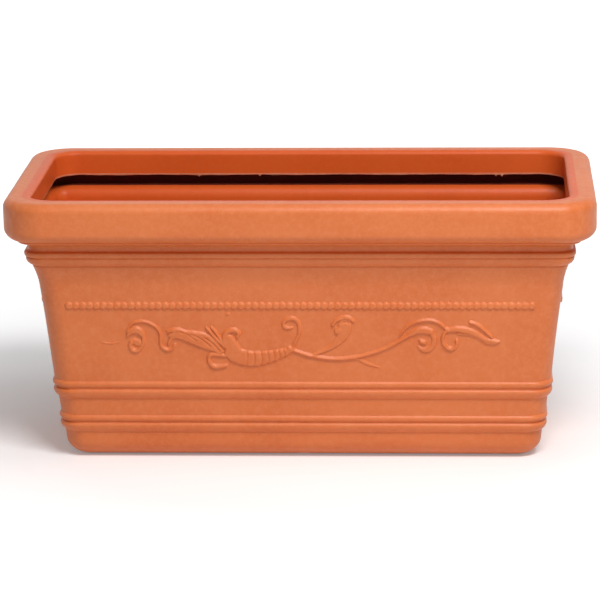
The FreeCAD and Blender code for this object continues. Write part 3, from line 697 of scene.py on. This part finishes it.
# Materials. Every one is mixed from noise in object space, in metres. A layer of patches is:
# noise scale, detail and roughness, the noise values it fades in between, and its strength.
NOISE_ROUGHNESS = 0.55
CLOUDS = (7.0, 3.0, NOISE_ROUGHNESS, 0.35, 0.65, 1.0)
MOTTLE = (110.0, 5.0, 0.7, 0.42, 0.68, 0.45)
FLECKS = (700.0, 2.0, NOISE_ROUGHNESS, 0.60, 0.74, 0.45)
# Gloss: noise scale and detail, and the noise values for the two roughnesses.
GLOSS_NOISE = (120.0, 3.0)
GLOSS_RANGE = (0.3, 0.7)
# Bumps: noise scale and detail, depth in metres.
PEEL = (45.0, 2.0, 0.0006)
GRAIN = (1400.0, 2.0, 0.0003)
# The Mix node's colour sockets, which have the same names as its number sockets.
MIX_FIRST = 6
MIX_SECOND = 7
MIX_RESULT = 2


def new_material(name):
    material = bpy.data.materials.new(name)
    material.use_nodes = True
    tree = material.node_tree
    return material, tree, tree.nodes["Principled BSDF"]


def noise(tree, scale, detail, roughness=NOISE_ROUGHNESS):
    place = tree.nodes.new("ShaderNodeTexCoord")
    texture = tree.nodes.new("ShaderNodeTexNoise")
    texture.inputs["Scale"].default_value = scale
    texture.inputs["Detail"].default_value = detail
    texture.inputs["Roughness"].default_value = roughness
    tree.links.new(place.outputs["Object"], texture.inputs["Vector"])
    return texture.outputs["Fac"]


def ramp(tree, source, low, high, out_low, out_high):
    node = tree.nodes.new("ShaderNodeMapRange")
    node.inputs["From Min"].default_value = low
    node.inputs["From Max"].default_value = high
    node.inputs["To Min"].default_value = out_low
    node.inputs["To Max"].default_value = out_high
    tree.links.new(source, node.inputs["Value"])
    return node.outputs["Result"]


def patches(tree, scale, detail, roughness, low, high, strength):
    return ramp(tree, noise(tree, scale, detail, roughness), low, high, 0.0, strength)


def mix(tree, factor, first, second):
    """Colour mix; first and second are colours or sockets."""
    node = tree.nodes.new("ShaderNodeMix")
    node.data_type = "RGBA"
    tree.links.new(factor, node.inputs["Factor"])
    for number, value in ((MIX_FIRST, first), (MIX_SECOND, second)):
        if isinstance(value, tuple):
            node.inputs[number].default_value = value + (1.0,)
        else:
            tree.links.new(value, node.inputs[number])
    return node.outputs[MIX_RESULT]


def bumps(tree, shader, layers):
    """Chain of noise bumps: ((scale, detail, depth in metres), strength)."""
    normal = None
    for (scale, detail, depth), strength in layers:
        node = tree.nodes.new("ShaderNodeBump")
        node.inputs["Strength"].default_value = strength
        node.inputs["Distance"].default_value = depth
        tree.links.new(noise(tree, scale, detail), node.inputs["Height"])
        if normal is not None:
            tree.links.new(normal, node.inputs["Normal"])
        normal = node.outputs["Normal"]
    tree.links.new(normal, shader.inputs["Normal"])


def plastic(name, deep, plain, pale, rough, grain, peel, shine):
    """Moulded plastic: cloudy patches, mottling, pale flecks, orange peel and fine grain."""
    material, tree, shader = new_material(name)
    colour = mix(tree, patches(tree, *CLOUDS), deep, plain)
    for layer in (MOTTLE, FLECKS):
        colour = mix(tree, patches(tree, *layer), colour, pale)
    tree.links.new(colour, shader.inputs["Base Color"])
    gloss = ramp(tree, noise(tree, *GLOSS_NOISE), *GLOSS_RANGE, *rough)
    tree.links.new(gloss, shader.inputs["Roughness"])
    shader.inputs["Specular IOR Level"].default_value = shine
    bumps(tree, shader, ((PEEL, peel), (GRAIN, grain)))
    return material


outer_plastic = plastic("outer_plastic", (0.660, 0.147, 0.028), (0.712, 0.178, 0.043),
                        (0.765, 0.232, 0.080), (0.40, 0.50), 0.25, 0.12, 0.50)
inner_plastic = plastic("inner_plastic", (0.69, 0.104, 0.017), (0.72, 0.117, 0.021),
                        (0.74, 0.130, 0.025), (0.36, 0.44), 0.04, 0.08, 0.20)
# Pale colour of the cut faces: the raw cut plastic's own paler tone, plus a painted highlight
# along the lip's cut edge.
cut_tone_and_painted_highlight = plastic("cut_tone_and_painted_highlight", (0.70, 0.22, 0.11), (0.78, 0.29, 0.16),
                      (0.86, 0.42, 0.27), (0.70, 0.85), 0.60, 0.30, 0.20)
# Near-black colour of the hollow rim's inside: painted shade, standing for the darkness inside the
# rim.
hollow_painted_shade = plastic("hollow_painted_shade", (0.15, 0.026, 0.014), (0.18, 0.031, 0.017),
                         (0.21, 0.038, 0.021), (0.45, 0.6), 0.10, 0.10, 0.25)
grid_plastic = plastic("grid_plastic", (0.040, 0.018, 0.012), (0.052, 0.024, 0.016),
                       (0.075, 0.036, 0.025), (0.45, 0.6), 0.25, 0.20, 0.4)
plug_rubber = plastic("plug_rubber", (0.008, 0.008, 0.008), (0.012, 0.012, 0.012),
                      (0.025, 0.024, 0.023), (0.6, 0.8), 0.3, 0.20, 0.3)

SHARP_ANGLE = math.radians(50)

shell = planter_mesh([outer_plastic, inner_plastic, cut_tone_and_painted_highlight, hollow_painted_shade])
cutters = [hole_cutter(side_x * HOLE_SPREAD[0], side_y * HOLE_SPREAD[1])
           for side_x in (-1, 1) for side_y in (-1, 1)]
cut_away(shell, cutters + [channel_cutter()])
shell.data.set_sharp_from_angle(angle=SHARP_ANGLE)
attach(shell, "planter")
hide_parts("planter_shell")

scroll_x = np.arange(*SCROLL_SPAN, FIELD_STEP)
scroll_z = np.arange(*SCROLL_LEVELS, FIELD_STEP)
scroll = scroll_heights(scroll_x, scroll_z)
bead_z = np.arange(*BEAD_LEVELS, FIELD_STEP)
raised = []
for side, (name, half) in enumerate(WALLS):
    bead_x = np.arange(-half - BEAD_MARGIN, half + BEAD_MARGIN, BEAD_STEP)
    raised.append(raised_piece("bead_row_" + name, side, bead_x, bead_z,
                               bead_heights(bead_x, bead_z, half), outer_plastic))
    if side % 2 == 0:
        raised.append(raised_piece("scroll_" + name, side, scroll_x, scroll_z, scroll,
                                   outer_plastic))
for piece in raised:
    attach(piece, "planter")

for name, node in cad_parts.items():
    if name != "planter_shell":
        node.data.materials.clear()
        node.data.materials.append(plug_rubber if "plug" in name else grid_plastic)

# Floor, lights and camera, in metres.
SHOWN_RAYS = ("Is Camera Ray", "Is Glossy Ray", "Is Transmission Ray")
WHITE = (1.0, 1.0, 1.0, 1.0)
FLOOR_COLOUR = (0.90, 0.90, 0.90, 1.0)
FLOOR_SIZE = 40.0
# The floor's glow grows from the first strength to the second over this distance.
GLOW_DISTANCE = (0.35, 1.5)
GLOW_STRENGTH = (0.20, 0.85)
WORLD_LIGHT = 0.18
LAMP_TARGET = (0.0, 0.0, 0.2)
# Lamps: name, place, width and height, watts.
LAMPS = (("key", (0.8, -1.7, 2.5), (1.4, 0.7), 66.0),
         ("top", (0.6, -0.4, 2.6), (1.2, 0.8), 7.0),
         ("fill", (0.9, -3.2, 1.0), (2.0, 1.0), 5.0))
CAMERA_PLACE = (0.2292, -4.4520, 1.3061)
CAMERA_RIGHT = (0.99867, 0.05008, -0.01194)
CAMERA_UP = (-0.00056, 0.24256, 0.97014)
CAMERA_LENS = 197.2
CAMERA_SENSOR = 36.0
CAMERA_FAR = 100.0


def shown_factor(tree):
    """1 for camera, glossy and transmission rays."""
    path = tree.nodes.new("ShaderNodeLightPath")
    total = path.outputs[SHOWN_RAYS[0]]
    for ray in SHOWN_RAYS[1:]:
        node = tree.nodes.new("ShaderNodeMath")
        node.operation = "MAXIMUM"
        tree.links.new(total, node.inputs[0])
        tree.links.new(path.outputs[ray], node.inputs[1])
        total = node.outputs[0]
    return total


floor_material, tree, shader = new_material("floor_white")
shader.inputs["Base Color"].default_value = FLOOR_COLOUR
shader.inputs["Roughness"].default_value = 1.0
shader.inputs["Specular IOR Level"].default_value = 0.0
shader.inputs["Emission Color"].default_value = WHITE
place = tree.nodes.new("ShaderNodeTexCoord")
reach = tree.nodes.new("ShaderNodeVectorMath")
reach.operation = "LENGTH"
tree.links.new(place.outputs["Object"], reach.inputs[0])
far_glow = ramp(tree, reach.outputs["Value"], *GLOW_DISTANCE, *GLOW_STRENGTH)
glow = tree.nodes.new("ShaderNodeMath")
glow.operation = "MULTIPLY"
tree.links.new(far_glow, glow.inputs[0])
tree.links.new(shown_factor(tree), glow.inputs[1])
tree.links.new(glow.outputs[0], shader.inputs["Emission Strength"])
edge = FLOOR_SIZE / 2 / MM
floor = new_mesh("floor", [(-edge, -edge, 0), (edge, -edge, 0), (edge, edge, 0), (-edge, edge, 0)],
                 [(0, 1, 2, 3)], [floor_material], smooth=False)

world = bpy.data.worlds.new("studio")
world.use_nodes = True
bpy.context.scene.world = world
tree = world.node_tree
background = tree.nodes["Background"]
background.inputs["Color"].default_value = WHITE
tree.links.new(ramp(tree, shown_factor(tree), 0.0, 1.0, WORLD_LIGHT, 1.0),
               background.inputs["Strength"])

for name, place, size, power in LAMPS:
    light = bpy.data.lights.new(name, "AREA")
    light.shape = "RECTANGLE"
    light.size, light.size_y = size
    light.energy = power
    lamp = bpy.data.objects.new(name, light)
    lamp.location = place
    aim = Vector(LAMP_TARGET) - Vector(place)
    lamp.rotation_euler = aim.to_track_quat("-Z", "Y").to_euler()
    bpy.context.scene.collection.objects.link(lamp)

camera = bpy.data.objects.new("camera", bpy.data.cameras.new("camera"))
right = Vector(CAMERA_RIGHT).normalized()
back = right.cross(Vector(CAMERA_UP)).normalized()
camera.matrix_world = Matrix.Translation(CAMERA_PLACE) @ Matrix(
    (right, back.cross(right), back)).transposed().to_4x4()
camera.data.sensor_width = CAMERA_SENSOR
camera.data.sensor_fit = "HORIZONTAL"
camera.data.lens = CAMERA_LENS
camera.data.clip_end = CAMERA_FAR
bpy.context.scene.collection.objects.link(camera)
bpy.context.scene.camera = camera
bpy.context.scene.view_settings.view_transform = "Standard"
